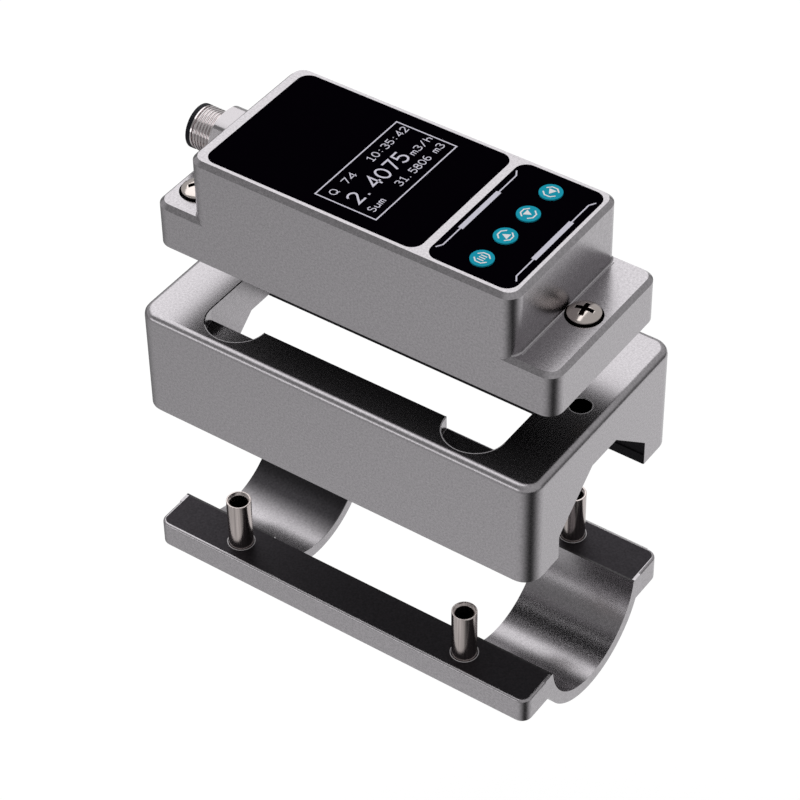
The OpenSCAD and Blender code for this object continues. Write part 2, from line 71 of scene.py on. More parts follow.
def material(name, base, metallic=0.0, roughness=0.5, specular=0.5, grain=0.06, grain_size=0.35,
             bump=0.0, upright=1.0, gloss_grain=None):
    """Principled material whose colour and roughness vary with a fine noise; sizes in mm.

    A small value of upright draws the noise out into upright streaks. The roughness varies by
    gloss_grain where that is given, and else as the colour does.
    """
    gloss_grain = grain if gloss_grain is None else gloss_grain
    m = bpy.data.materials.new(name)
    m.use_nodes = True
    tree = m.node_tree
    shader = tree.nodes["Principled BSDF"]
    shader.inputs["Metallic"].default_value = metallic
    shader.inputs["Specular IOR Level"].default_value = specular
    coords = tree.nodes.new("ShaderNodeTexCoord")
    noise = tree.nodes.new("ShaderNodeTexNoise")
    noise.inputs["Scale"].default_value = 1 / (grain_size * MM)
    noise.inputs["Detail"].default_value = NOISE_DETAIL
    stretch = tree.nodes.new("ShaderNodeMapping")
    stretch.inputs["Scale"].default_value = (1, 1, upright)
    tree.links.new(coords.outputs["Object"], stretch.inputs["Vector"])
    tree.links.new(stretch.outputs["Vector"], noise.inputs["Vector"])
    ramp = tree.nodes.new("ShaderNodeMixRGB")
    ramp.name = "body_colour"
    ramp.inputs["Color1"].default_value = (*[c * (1 - grain) for c in base], 1)
    ramp.inputs["Color2"].default_value = (*[min(1, c * (1 + grain)) for c in base], 1)
    tree.links.new(noise.outputs["Fac"], ramp.inputs["Fac"])
    tree.links.new(ramp.outputs["Color"], shader.inputs["Base Color"])
    rough = tree.nodes.new("ShaderNodeMapRange")
    rough.name = "body_roughness"
    rough.inputs["To Min"].default_value = roughness * (1 - gloss_grain)
    rough.inputs["To Max"].default_value = roughness * (1 + gloss_grain)
    tree.links.new(noise.outputs["Fac"], rough.inputs["Value"])
    tree.links.new(rough.outputs["Result"], shader.inputs["Roughness"])
    if bump:
        relief = tree.nodes.new("ShaderNodeBump")
        relief.inputs["Strength"].default_value = 1.0
        relief.inputs["Distance"].default_value = bump * MM
        tree.links.new(noise.outputs["Fac"], relief.inputs["Height"])
        tree.links.new(relief.outputs["Normal"], shader.inputs["Normal"])
    return m


def math_node(tree, operation, a, b=None):
    """Math node on sockets or numbers; returns its output."""
    node = tree.nodes.new("ShaderNodeMath")
    node.operation = operation
    for socket, value in zip(node.inputs, (a, b)):
        if value is None:
            continue
        if isinstance(value, (int, float)):
            socket.default_value = value
        else:
            tree.links.new(value, socket)
    return node.outputs[0]


def paint_shade_and_reflection(m, mask_of, colour, roughness, grain=0.5):
    """Mixes a dark grained colour over a material where mask_of(tree, position, normal) is 1; used for painted
    shade, and for a painted dark reflection on the clamp's bar tops.
    """
    tree = m.node_tree
    shader = tree.nodes["Principled BSDF"]
    coords = next(n for n in tree.nodes if n.type == "TEX_COORD")
    split = tree.nodes.new("ShaderNodeSeparateXYZ")
    tree.links.new(coords.outputs["Object"], split.inputs[0])
    facing = tree.nodes.new("ShaderNodeSeparateXYZ")
    tree.links.new(coords.outputs["Normal"], facing.inputs[0])
    mask = mask_of(tree, split.outputs, facing.outputs)
    colour_mix = tree.nodes.new("ShaderNodeMixRGB")
    tree.links.new(mask, colour_mix.inputs["Fac"])
    tree.links.new(shader.inputs["Base Color"].links[0].from_socket, colour_mix.inputs["Color1"])
    dark = tree.nodes.new("ShaderNodeMixRGB")
    dark.inputs["Color1"].default_value = (*[c * (1 - grain) for c in colour], 1)
    dark.inputs["Color2"].default_value = (*[c * (1 + grain) for c in colour], 1)
    noise = next(n for n in tree.nodes if n.type == "TEX_NOISE")
    tree.links.new(noise.outputs["Fac"], dark.inputs["Fac"])
    tree.links.new(dark.outputs["Color"], colour_mix.inputs["Color2"])
    tree.links.new(colour_mix.outputs["Color"], shader.inputs["Base Color"])
    rough_mix = tree.nodes.new("ShaderNodeMix")
    tree.links.new(mask, rough_mix.inputs["Factor"])
    tree.links.new(shader.inputs["Roughness"].links[0].from_socket, rough_mix.inputs["A"])
    rough_mix.inputs["B"].default_value = roughness
    tree.links.new(rough_mix.outputs["Result"], shader.inputs["Roughness"])
    return m


def groove_shade_mask(tree, position, normal):
    """1 on the bracket's V groove and the inner faces of its legs, where shade is painted near black."""
    low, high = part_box("bracket")
    inside = math_node(tree, "LESS_THAN", math_node(tree, "ABSOLUTE", position[1]), GROOVE_HALF * MM)
    below = math_node(tree, "LESS_THAN", position[2], low.z + GROOVE_TOP * MM)
    sideways = math_node(tree, "LESS_THAN", math_node(tree, "ABSOLUTE", normal[0]), TURNED_AWAY)
    return math_node(tree, "MULTIPLY", math_node(tree, "MULTIPLY", inside, below), sideways)


def near_axes(tree, position, places, radius):
    """1 within a radius in mm of any of the upright axes at places (x, y)."""
    found = 0.0
    for x, y in places:
        squares = []
        for socket, middle in zip(position[:2], (x, y)):
            off = math_node(tree, "SUBTRACT", socket, middle * MM)
            squares.append(math_node(tree, "MULTIPLY", off, off))
        inside = math_node(tree, "LESS_THAN", math_node(tree, "ADD", *squares), (radius * MM) ** 2)
        found = math_node(tree, "MAXIMUM", inside, found)
    return found


def bar_reflection_mask(tree, position, normal):
    """1 on the flat tops of the clamp's bars, which carry a painted dark reflection, and not on the lands
    beside the seat.
    """
    flat = math_node(tree, "GREATER_THAN", position[2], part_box("lower_clamp")[1].z - SKIN * MM / 4)
    beside = math_node(tree, "GREATER_THAN", math_node(tree, "ABSOLUTE", position[1]), BAR_INNER * MM)
    along = math_node(tree, "LESS_THAN", math_node(tree, "ABSOLUTE", position[0]), BAR_END * MM)
    return math_node(tree, "MULTIPLY", math_node(tree, "MULTIPLY", flat, beside), along)


def land_shade_mask(tree, position, normal):
    """1 on the narrow lands between the bars and the seat, where shade is painted dark grey."""
    flat = math_node(tree, "GREATER_THAN", position[2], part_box("lower_clamp")[1].z - SKIN * MM)
    within = math_node(tree, "LESS_THAN", math_node(tree, "ABSOLUTE", position[1]), BAR_INNER * MM)
    return math_node(tree, "MULTIPLY", flat, within)


def seat_mask(tree, position, normal):
    """Rises to 1 towards the back of the left saddle's seat, which lies in the shade."""
    y, z = position[1], position[2]
    square = math_node(tree, "ADD", math_node(tree, "MULTIPLY", y, y), math_node(tree, "MULTIPLY", z, z))
    inside = math_node(tree, "LESS_THAN", square, (BAR_INNER * MM) ** 2)
    left = math_node(tree, "LESS_THAN", position[0], 0.0)
    rise = tree.nodes.new("ShaderNodeMapRange")
    rise.interpolation_type = "SMOOTHSTEP"
    rise.inputs["From Min"].default_value = SEAT_SHADE[0] * MM
    rise.inputs["From Max"].default_value = SEAT_SHADE[1] * MM
    tree.links.new(y, rise.inputs["Value"])
    return math_node(tree, "MULTIPLY", math_node(tree, "MULTIPLY", inside, left), rise.outputs["Result"])


def tapped_shade_mask(tree, position, normal):
    """1 down in the bracket's tapped hole, where shade is painted black."""
    sunk = math_node(tree, "LESS_THAN", position[2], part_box("bracket")[1].z - TAPPED_RIM * MM)
    return math_node(tree, "MULTIPLY", near_axes(tree, position, SCREW_PLACES[:1], TAPPED_R), sunk)


def counterbore_shade_mask(tree, position, normal):
    """1 in the counterbores of the head's ears, where shade is painted black."""
    sunk = math_node(tree, "LESS_THAN", position[2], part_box("head_housing")[0].z + (EAR_TOP - SKIN) * MM)
    return math_node(tree, "MULTIPLY", near_axes(tree, position, SCREW_PLACES, COUNTERBORE_R), sunk)


def cross_shade_mask(tree, position, normal):
    """1 in the cross recess of the head's screws, below their domed tops, where shade is painted dark brown.
    """
    sunk = math_node(tree, "LESS_THAN", position[2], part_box("fixing_screw")[1].z - CROSS_START * MM)
    return math_node(tree, "MULTIPLY", near_axes(tree, position, SCREW_PLACES, CROSS_R), sunk)


# Blasted castings, and the colours of the shade and dark reflection painted on them
CAST = dict(metallic=1.0, roughness=0.27, grain=0.36, grain_size=0.55, bump=0.002, gloss_grain=0.10)
CAST_COLOUR = (0.42, 0.402, 0.42)
GROOVE_SHADE_BLACK = (0.017, 0.0155, 0.0185)
HOLE_SHADE_BLACK = (0.003, 0.003, 0.003)
BAR_REFLECTION_BLACK = (0.034, 0.031, 0.035)
LAND_SHADE_GREY = (0.05, 0.048, 0.05)
SEAT_DARK = (0.035, 0.033, 0.036)
CROSS_SHADE_BROWN = (0.035, 0.024, 0.016)
# Half width and top of the bracket's groove in mm, a little past its faces, bounding its painted shade
GROOVE_HALF = 20.35
GROOVE_TOP = 20.25
# Places of the head's screws, and the reach of the painted shade in their counterbores and recesses, in mm
SCREW_PLACES = ((53.1, 0), (-53.1, -13.8), (-53.1, 13.8))
EAR_TOP = 13.2
COUNTERBORE_R = 4.95
CROSS_R = 2.5
CROSS_START = 0.45
# Depth under a face at which a mask takes a point as sunk, in mm
SKIN = 0.04
# Inner edge along Y and end along X of the painted dark reflection on the tops of the clamp's bars, in mm
BAR_INNER = 20.5
BAR_END = 58.9
# Places along Y where the shade in the left seat begins and is full, in mm
SEAT_SHADE = (-3.5, 8.5)
# Bright rim above the painted shade in the bracket's tapped hole, and the reach of that shade, in mm
TAPPED_RIM = 0.2
TAPPED_R = 2.9

MATERIALS = {
    "cast_alloy": material("cast_alloy", CAST_COLOUR, **CAST),
    "plated_nut": material("plated_nut", (0.52, 0.465, 0.45), 1.0, 0.19,
                           grain=0.6, grain_size=0.45, upright=0.02),
    "stud_steel": material("stud_steel", (0.35, 0.35, 0.36), 1.0, 0.35),
    "screw_steel": material("screw_steel", (0.74, 0.71, 0.66), 1.0, 0.12, grain=0.04),
    "panel_black": material("panel_black", (0.0013, 0.0007, 0.0021), 0.0, 0.45, 0.0, grain=0.2),
    "key_teal": material("key_teal", (0.016, 0.370, 0.510), 0.0, 0.5, 0.0, grain=0.04),
    "plate_dark": material("plate_dark", (0.010, 0.010, 0.012), 0.0, 0.5, 0.1),
    "seal_rubber": material("seal_rubber", (0.012, 0.012, 0.012), 0.0, 0.6, 0.2),
    "carrier_black": material("carrier_black", (0.012, 0.012, 0.014), 0.0, 0.5, 0.2),
    "wedge_plastic": material("wedge_plastic", (0.50, 0.36, 0.14), 0.0, 0.35),
    "crystal_white": material("crystal_white", (0.70, 0.68, 0.60), 0.0, 0.5),
    "pad_grey": material("pad_grey", (0.18, 0.19, 0.21), 0.0, 0.4),
    "board_green": material("board_green", (0.010, 0.070, 0.025), 0.0, 0.35),
    "part_black": material("part_black", (0.010, 0.010, 0.011), 0.0, 0.4),
    "pillar_brass": material("pillar_brass", (0.62, 0.42, 0.12), 1.0, 0.3),
    "frame_grey": material("frame_grey", (0.06, 0.06, 0.065), 0.0, 0.5),
    "display_glass": material("display_glass", (0.004, 0.006, 0.02), 0.0, 0.15),
    "connector_metal": material("connector_metal", (0.70, 0.66, 0.665), 1.0, 0.12, grain=0.05),
    "hexagon_metal": material("hexagon_metal", (0.42, 0.40, 0.415), 1.0, 0.2, grain=0.05),
    "insert_black": material("insert_black", (0.004, 0.004, 0.008), 0.0, 0.5, 0.15),
    # Pale lines of painted highlight, and near-black lines of painted shade, along edges
    "painted_highlight": material("painted_highlight", (0.55, 0.53, 0.55), 0.0, 0.4, 0.5, grain=0.04),
    "painted_edge_shade": material("painted_edge_shade", (0.006, 0.006, 0.007), 0.0, 0.5, 0.1),
    "pin_gold": material("pin_gold", (0.80, 0.55, 0.16), 1.0, 0.2),
    "mark_white": material("mark_white", (0.72, 0.70, 0.80), 0.0, 0.6, 0.1, grain=0.03),
    "symbol_white": material("symbol_white", (0.90, 0.90, 0.92), 0.0, 0.6, 0.1, grain=0.02),
}
# Painted shade in the bracket's groove and tapped hole and on the clamp's lands and left seat, and a painted
# dark reflection on the clamp's bar tops
MATERIALS["bracket_alloy"] = paint_shade_and_reflection(paint_shade_and_reflection(
    material("bracket_alloy", CAST_COLOUR, **CAST), groove_shade_mask, GROOVE_SHADE_BLACK, 0.5),
    tapped_shade_mask, HOLE_SHADE_BLACK, 0.5)
MATERIALS["clamp_alloy"] = paint_shade_and_reflection(paint_shade_and_reflection(paint_shade_and_reflection(
    material("clamp_alloy", CAST_COLOUR, **CAST), bar_reflection_mask, BAR_REFLECTION_BLACK, 0.5),
    seat_mask, SEAT_DARK, 0.35), land_shade_mask, LAND_SHADE_GREY, 0.4)
# Painted shade in the counterbores of the head's ears
MATERIALS["head_alloy"] = paint_shade_and_reflection(
    material("head_alloy", CAST_COLOUR, **CAST), counterbore_shade_mask, HOLE_SHADE_BLACK, 0.5)
# Painted shade, dark brown, in the screws' cross recesses
MATERIALS["raised_screw"] = paint_shade_and_reflection(
    material("raised_screw", (0.60, 0.54, 0.51), 1.0, 0.15, grain=0.05), cross_shade_mask, CROSS_SHADE_BROWN, 0.4)
# Near black of the groove's painted shade, as a material of its own for the lips of the bracket's legs
MATERIALS["groove_shade_black"] = material("groove_shade_black", GROOVE_SHADE_BLACK, 1.0, 0.5, grain=0.5)

FINISH_OF = {
    "bracket": "bracket_alloy", "lower_clamp": "clamp_alloy", "head_housing": "head_alloy",
    "housing_screws": "raised_screw", "fixing_screw": "raised_screw", "connector_insert": "insert_black",
}


def paint(obj, name):
    """Gives a piece one material, named in MATERIALS; for a CAD node the caller names its finish or its CAD
    slot's material.
    """
    obj.data.materials.clear()
    obj.data.materials.append(MATERIALS[name])


# CAD nodes: smooth shading and fine broken edges, their own vertices untouched

# Width of the broken edges in mm
EDGE_BREAK = {
    "head_housing": 0.36, "bracket": 0.22, "lower_clamp": 0.16, "sleeve_nuts": 0.12,
    "housing_screws": 0.10, "fixing_screw": 0.10,
}
# Least angle of an edge that is kept or broken, greatest angle of facets made one, reach of the weld in mm
SHARP_ANGLE, FACET_ANGLE, WELD_REACH = 38, 0.4, 0.001
BEVEL_SEGMENTS = 2
LARGE_FACE_WEIGHT = 90


def soften(node, width):
    """Smooth shading with face weighted normals, and a small bevel on the sharp edges."""
    mesh = node.data
    mesh.polygons.foreach_set("use_smooth", [True] * len(mesh.polygons))
    weld = node.modifiers.new("weld", "WELD")
    weld.merge_threshold = WELD_REACH * MM
    flat = node.modifiers.new("flat", "DECIMATE")
    flat.decimate_type = "DISSOLVE"
    flat.angle_limit = math.radians(FACET_ANGLE)
    if width:
        bevel = node.modifiers.new("bevel", "BEVEL")
        bevel.limit_method = "ANGLE"
        bevel.angle_limit = math.radians(SHARP_ANGLE)
        bevel.width = width * MM
        bevel.segments = BEVEL_SEGMENTS
        bevel.use_clamp_overlap = True
    else:
        split = node.modifiers.new("split", "EDGE_SPLIT")
        split.split_angle = math.radians(SHARP_ANGLE)
    weighted = node.modifiers.new("weighted", "WEIGHTED_NORMAL")
    weighted.mode = "FACE_AREA"
    weighted.weight = LARGE_FACE_WEIGHT
    weighted.keep_sharp = True


for name, node in NODES.items():
    paint(node, FINISH_OF.get(name, SLOT_OF[name]))
    soften(node, EDGE_BREAK.get(name, 0))


# Mesh helpers

def add_mesh(name, vertices, faces, material_name, body, smooth=False):
    """New mesh piece from vertices in mm, riding on a CAD body."""
    mesh = bpy.data.meshes.new(name)
    mesh.from_pydata([Vector(v) * MM for v in vertices], [], faces)
    mesh.validate()
    if smooth:
        mesh.polygons.foreach_set("use_smooth", [True] * len(mesh.polygons))
    obj = bpy.data.objects.new(name, mesh)
    bpy.context.scene.collection.objects.link(obj)
    paint(obj, material_name)
    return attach(obj, body)


# Least share of the mitre's run, so that sharp corners don't reach out too far
MITRE_SHARE = 0.35


def ribbon(points, width, closed=False):
    """Flat strip of one width along 2D points, with mitred corners. Returns vertices and faces."""
    count = len(points)
    pts = [Vector(p) for p in points]
    verts, faces = [], []
    for i, p in enumerate(pts):
        before = pts[i - 1] if (i > 0 or closed) else None
        after = pts[(i + 1) % count] if (i < count - 1 or closed) else None
        d1 = (p - before).normalized() if before is not None else None
        d2 = (after - p).normalized() if after is not None else None
        d1 = d1 or d2
        d2 = d2 or d1
        n1, n2 = Vector((-d1.y, d1.x)), Vector((-d2.y, d2.x))
        mitre = (n1 + n2).normalized()
        reach = width / 2 / max(MITRE_SHARE, mitre.dot(n1))
        verts += [p + mitre * reach, p - mitre * reach]
    steps = count if closed else count - 1
    for i in range(steps):
        a, b = 2 * i, 2 * ((i + 1) % count)
        faces.append((a, a + 1, b + 1, b))
    return verts, faces


class Flat:
    """Collects flat shapes, drawn in panel coordinates (x, y) in mm, each a trace above the last."""

    STEP = 0.001

    def __init__(self, z):
        self.z, self.verts, self.faces = z, [], []

    def add(self, verts, faces):
        base = len(self.verts)
        self.z += self.STEP
        self.verts += [(v[0], v[1], self.z) for v in verts]
        for face in faces:
            loop = [base + i for i in face]
            a, b, c = (Vector(self.verts[i][:2]) for i in loop[:3])
            if (b - a).cross(c - a) < 0:
                loop.reverse()
            self.faces.append(loop)

    def line(self, points, width, closed=False):
        self.add(*ribbon(points, width, closed))

    def shape(self, points):
        self.add(points, [list(range(len(points)))])


def arc(cx, cy, rx, ry, start, end, steps=12):
    """Points of an elliptic arc between two angles in degrees."""
    return [(cx + rx * math.cos(math.radians(start + (end - start) * i / steps)),
             cy + ry * math.sin(math.radians(start + (end - start) * i / steps))) for i in range(steps + 1)]


# Stroke figures in a box 0.5 wide and 1 high: lists of (points, closed)
GLYPHS = {
    "0": [(arc(0.25, 0.5, 0.21, 0.47, 0, 345, 20), True)],
    "1": [([(0.08, 0.82), (0.26, 0.97), (0.26, 0.03)], False), ([(0.08, 0.03), (0.44, 0.03)], False)],
    "2": [(arc(0.25, 0.72, 0.2, 0.25, 165, -40, 10) + [(0.05, 0.03), (0.46, 0.03)], False)],
    "3": [(arc(0.23, 0.75, 0.2, 0.22, 150, -80, 10) + arc(0.23, 0.27, 0.23, 0.25, 80, -155, 12), False)],
    "4": [([(0.36, 0.03), (0.36, 0.97), (0.03, 0.3), (0.48, 0.3)], False)],
    "5": [([(0.43, 0.97), (0.1, 0.97), (0.08, 0.56)] + arc(0.24, 0.32, 0.21, 0.29, 110, -150, 12), False)],
    "6": [(arc(0.3, 0.5, 0.24, 0.47, 75, 190, 8), False), (arc(0.26, 0.3, 0.19, 0.27, 0, 340, 16), True)],
    "7": [([(0.06, 0.97), (0.45, 0.97), (0.2, 0.03)], False)],
    "8": [(arc(0.25, 0.74, 0.17, 0.22, 0, 340, 16), True), (arc(0.25, 0.28, 0.21, 0.25, 0, 340, 16), True)],
    ".": [([(0.13, 0.0), (0.13, 0.12)], False)],
    ":": [([(0.22, 0.12), (0.22, 0.24)], False), ([(0.22, 0.58), (0.22, 0.7)], False)],
    "/": [([(0.06, -0.05), (0.42, 1.0)], False)],
    "m": [([(0.04, 0.02), (0.04, 0.62)], False),
          ([(0.25, 0.02), (0.25, 0.55), (0.17, 0.62), (0.04, 0.5)], False),
          ([(0.46, 0.02), (0.46, 0.55), (0.38, 0.62), (0.25, 0.5)], False)],
    "h": [([(0.08, 0.02), (0.08, 1.0)], False),
          ([(0.42, 0.02), (0.42, 0.48), (0.3, 0.62), (0.08, 0.48)], False)],
    "Q": [(arc(0.25, 0.5, 0.21, 0.46, 0, 345, 20), True), ([(0.28, 0.25), (0.47, -0.05)], False)],
    "S": [(arc(0.25, 0.73, 0.19, 0.23, 30, 260, 10) + arc(0.25, 0.26, 0.2, 0.25, 80, -150, 10), False)],
    "u": [([(0.08, 0.62), (0.08, 0.16), (0.2, 0.02), (0.42, 0.18)], False),
          ([(0.42, 0.62), (0.42, 0.02)], False)],
}
# Width of the figures' box and the gap after it, as shares of the step from one figure to the next
FIGURE_SHARE, GAP_SHARE = 1.75, 0.12


def write(flat, text, baseline, start, end, height, stroke):
    """Writes text along +Y between start and end, its top towards -X; other letters leave a blank."""
    advance = (end - start) / (len(text) - GAP_SHARE)
    for place, letter in enumerate(text):
        for points, closed in GLYPHS.get(letter, []):
            placed = [(baseline - height * v, start + advance * (place + FIGURE_SHARE * u)) for u, v in points]
            flat.line(placed, stroke, closed)


# Printed display and key panel

# Height of printed marks above the surface under them, and widths of their lines, in mm
MARK_LIFT = 0.03
FRAME_LINE = 0.38
# Height of letters and width of their strokes
SMALL_TEXT, LARGE_TEXT = (2.2, 0.28), (4.4, 0.55)
# Frame of the display: its sides along X and Y
DISPLAY_X, DISPLAY_Y = (-13.6, 4.4), (-17.0, 17.5)
# Its words and figures: baseline along X, start and end along Y
DISPLAY_WORDS = (
    ("Q 74", -9.15, -15.1, -5.2, *SMALL_TEXT),
    ("10:35:42", -9.2, 0.8, 16.8, *SMALL_TEXT),
    ("2.4075", -2.35, -14.5, 7.8, *LARGE_TEXT),
    ("m3/h", -2.1, 8.6, 16.9, *SMALL_TEXT),
    ("Sum", 2.35, -15.1, -9.6, *SMALL_TEXT),
    ("31.5806", 2.05, -3.2, 10.4, *SMALL_TEXT),
    ("m3", 2.0, 12.4, 16.3, *SMALL_TEXT),
)
# Bent lines of the key panel: X at their ends and along their middle, Y of their ends and bends
PANEL_LINES = ((21.9, 22.9), (44.7, 43.65))
PANEL_LINE_Y = (-17.35, -15.7, 16.0, 17.7)
# Half length and half width of the bars on them
PANEL_BAR = (8.35, 0.68)
# Keys: radius and line of the ring, its first and last corner in degrees, arrow and bars
KEY_RING_R, KEY_RING_LINE = 1.95, 0.36
KEY_RING_FROM, KEY_RING_TO, OCTAGON_STEP = -68, 248, 45
ARROW_BACK, ARROW_TIP, ARROW_HALF = 0.95, 0.95, 1.05
MENU_BAR_PITCH, MENU_BAR_HALF, MENU_BAR_LINE = 0.8, 0.9, 0.34
# Each key's symbol: its turn in degrees, and whether it is an arrow
KEY_SYMBOLS = {
    "key_menu": (90, False), "key_up": (180, True), "key_down": (0, True), "key_enter": (-90, True),
}


def top_of(node):
    """Height of a CAD node's top in mm."""
    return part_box(node)[1].z / MM


def draw_display():
    """Frame and figures of the display."""
    marks = Flat(top_of("display_panel") + MARK_LIFT)
    (x0, x1), (y0, y1) = DISPLAY_X, DISPLAY_Y
    marks.line([(x0, y0), (x1, y0), (x1, y1), (x0, y1)], FRAME_LINE, closed=True)
    for words in DISPLAY_WORDS:
        write(marks, *words)
    add_mesh("display_marks", marks.verts, marks.faces, "mark_white", "head")


def draw_key_panel():
    """Bent lines of the key panel with their bars."""
    marks = Flat(top_of("key_panel") + MARK_LIFT)
    long_half, wide_half = PANEL_BAR
    for edge, bend in PANEL_LINES:
        marks.line(list(zip((edge, bend, bend, edge), PANEL_LINE_Y)), FRAME_LINE)
        near, far = bend - wide_half, bend + wide_half
        marks.shape([(near, -long_half), (far, -long_half), (far, long_half), (near, long_half)])
    add_mesh("panel_marks", marks.verts, marks.faces, "mark_white", "head")


def draw_key(name, angle, arrow):
    """Octagon ring open at two sides, with an arrow or three bars; angle turns it in the panel."""
    low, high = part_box(name)
    cx, cy = (low.x + high.x) / 2 / MM, (low.y + high.y) / 2 / MM
    marks = Flat(high.z / MM + MARK_LIFT)
    turn = Matrix.Rotation(math.radians(angle), 2)

    def place(points):
        return [tuple(turn @ Vector(p) + Vector((cx, cy))) for p in points]

    angles = [math.radians(a) for a in range(KEY_RING_FROM, KEY_RING_TO, OCTAGON_STEP)]
    corners = [(KEY_RING_R * math.cos(a), KEY_RING_R * math.sin(a)) for a in angles]
    half = len(corners) // 2
    for side in (1, -1):
        marks.line(place([(side * x, side * y) for x, y in corners[:half]]), KEY_RING_LINE)
    if arrow:
        marks.shape(place([(-ARROW_BACK, ARROW_HALF), (-ARROW_BACK, -ARROW_HALF), (ARROW_TIP, 0)]))
    else:
        for v in (-MENU_BAR_PITCH, 0, MENU_BAR_PITCH):
            marks.line(place([(v, -MENU_BAR_HALF), (v, MENU_BAR_HALF)]), MENU_BAR_LINE)
    add_mesh(name + "_symbol", marks.verts, marks.faces, "symbol_white", name + "_body")


# Painted highlights and painted shade as lines along machined edges, and the lips of the bracket's legs

# Painted lines along edges: height above the face, width, gap from the edge that they follow, in mm
RIM_LIFT, RIM_LINE, RIM_OFF = 0.012, 0.26, 0.16
# Corners of the bracket's window with their round pockets, in mm
POCKET_X, POCKET_R, POCKET_DEPTH, WINDOW_Y = 36.4, 8.4, 4.0, 21.75
# Stretch of painted shade on the left pockets' rims, in degrees from the window's end
DARK_ARC = 45
# Places of the sleeve nuts along Y and radius of the painted highlight rings round their feet, in mm
NUT_Y, NUT_RIM_R = 26.328, 3.72
# Steps of round lines, and where a closed one ends, in degrees
ARC_STEPS, DARK_STEPS, LIT_STEPS, FULL_TURN = 40, 12, 30, 351
# Painted highlight line on the ear at the foot of the raised box: its place, half its gap at the screw, gap at
# its ends, in mm
FOOT_X, FOOT_OPEN, FOOT_SHORT = 48.75, 3.0, 3.0
# Painted highlight lines on the clamp's bars stop this far from the ends, in mm
RIM_END = 3.4
# Lips of the bracket's legs: reach along Y, height above the feet, broken edge, gap at their ends, in mm
LIP_Y, LIP_Z, LIP_BREAK, LIP_END = (20.0, 21.85), (0.05, 3.5), 0.2, 0.3


def draw_lines(name, flat, material_name, body):
    """Adds the lines that were collected in flat as one piece."""
    add_mesh(name, flat.verts, flat.faces, material_name, body)


def draw_bracket_highlights_and_shade():
    """Painted highlights round the pockets at the window's corners, along their floors' edges and round the
    tapped hole, and painted shade along part of the left pockets' rims and the window's left end.
    """
    bright, dark = Flat(top_of("bracket") + RIM_LIFT), Flat(top_of("bracket") + RIM_LIFT)
    reach = POCKET_R + RIM_OFF
    for side in (-1, 1):
        turn, part = side * 180, side * (180 - DARK_ARC)
        bright.line(arc(POCKET_X, side * WINDOW_Y, reach, reach, 0, turn, ARC_STEPS), RIM_LINE)
        bright.line(arc(-POCKET_X, side * WINDOW_Y, reach, reach, part, 0, LIT_STEPS), RIM_LINE)
        dark.line(arc(-POCKET_X, side * WINDOW_Y, reach, reach, turn, part, DARK_STEPS), RIM_LINE)
    hole = TAPPED_R + RIM_OFF
    bright.line(arc(*SCREW_PLACES[0], hole, hole, 0, FULL_TURN, ARC_STEPS), RIM_LINE, closed=True)
    end = -POCKET_X - reach
    dark.line([(end, -WINDOW_Y), (end, WINDOW_Y)], RIM_LINE)
    draw_lines("bracket_highlights", bright, "painted_highlight", "bracket_body")
    draw_lines("bracket_edge_shade", dark, "painted_edge_shade", "bracket_body")
    low = Flat(top_of("bracket") - POCKET_DEPTH + RIM_LIFT)
    for side in (-1, 1):
        low.line([(POCKET_X - POCKET_R, side * WINDOW_Y), (POCKET_X + POCKET_R, side * WINDOW_Y)], RIM_LINE)
    draw_lines("pocket_floor_highlights", low, "painted_highlight", "bracket_body")


def draw_nut_highlights():
    """Painted highlight rings round the feet of the sleeve nuts."""
    rings = Flat(top_of("lower_clamp") + RIM_LIFT)
    for x in (-POCKET_X, POCKET_X):
        for y in (-NUT_Y, NUT_Y):
            rings.line(arc(x, y, NUT_RIM_R, NUT_RIM_R, 0, FULL_TURN, ARC_STEPS), RIM_LINE, closed=True)
    draw_lines("nut_highlights", rings, "painted_highlight", "clamp")


def draw_ear_highlight():
    """Painted highlight line on the right ear along the foot of the raised box, left open at the screw."""
    flat = Flat(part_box("head_housing")[0].z / MM + EAR_TOP + RIM_LIFT)
    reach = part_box("head_housing")[1].y / MM - FOOT_SHORT
    for y0, y1 in ((-reach, -FOOT_OPEN), (FOOT_OPEN, reach)):
        flat.line([(FOOT_X, y0), (FOOT_X, y1)], RIM_LINE)
    draw_lines("ear_highlight", flat, "painted_highlight", "head")


def draw_bar_highlights():
    """Painted highlight lines along the outer top edges of the clamp's bars."""
    low, high = (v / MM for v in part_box("lower_clamp"))
    flat = Flat(high.z + RIM_LIFT)
    inset = EDGE_BREAK["lower_clamp"] + RIM_LINE / 2
    for y in (low.y + inset, high.y - inset):
        flat.line([(low.x + RIM_END, y), (high.x - RIM_END, y)], RIM_LINE)
    draw_lines("bar_highlights", flat, "painted_highlight", "clamp")


def draw_leg_lips():
    """Lips at the feet of the bracket's legs, which run on over the window's length, near black with the
    groove's painted shade.
    """
    low, high = (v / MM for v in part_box("bracket"))
    y0, y1 = LIP_Y
    z0, z1 = (low.z + height for height in LIP_Z)
    cut = LIP_BREAK
    for side, name in ((-1, "leg_lip_front"), (1, "leg_lip_back")):
        section = [(y1, z0), (y0 + cut, z0), (y0, z0 + cut), (y0, z1 - cut), (y0 + cut, z1), (y1, z1)]
        verts = [(x, side * y, z) for x in (low.x + LIP_END, high.x - LIP_END) for y, z in section]
        n = len(section)
        faces = [(k, (k + 1) % n, n + (k + 1) % n, n + k) for k in range(n)]
        faces += [tuple(range(n - 1, -1, -1)), tuple(range(n, 2 * n))]
        if side < 0:
            faces = [face[::-1] for face in faces]
        add_mesh(name, verts, faces, "groove_shade_black", "bracket_body")


draw_bracket_highlights_and_shade()
draw_nut_highlights()
draw_ear_highlight()
draw_bar_highlights()
draw_leg_lips()


# Threaded shell of the connector

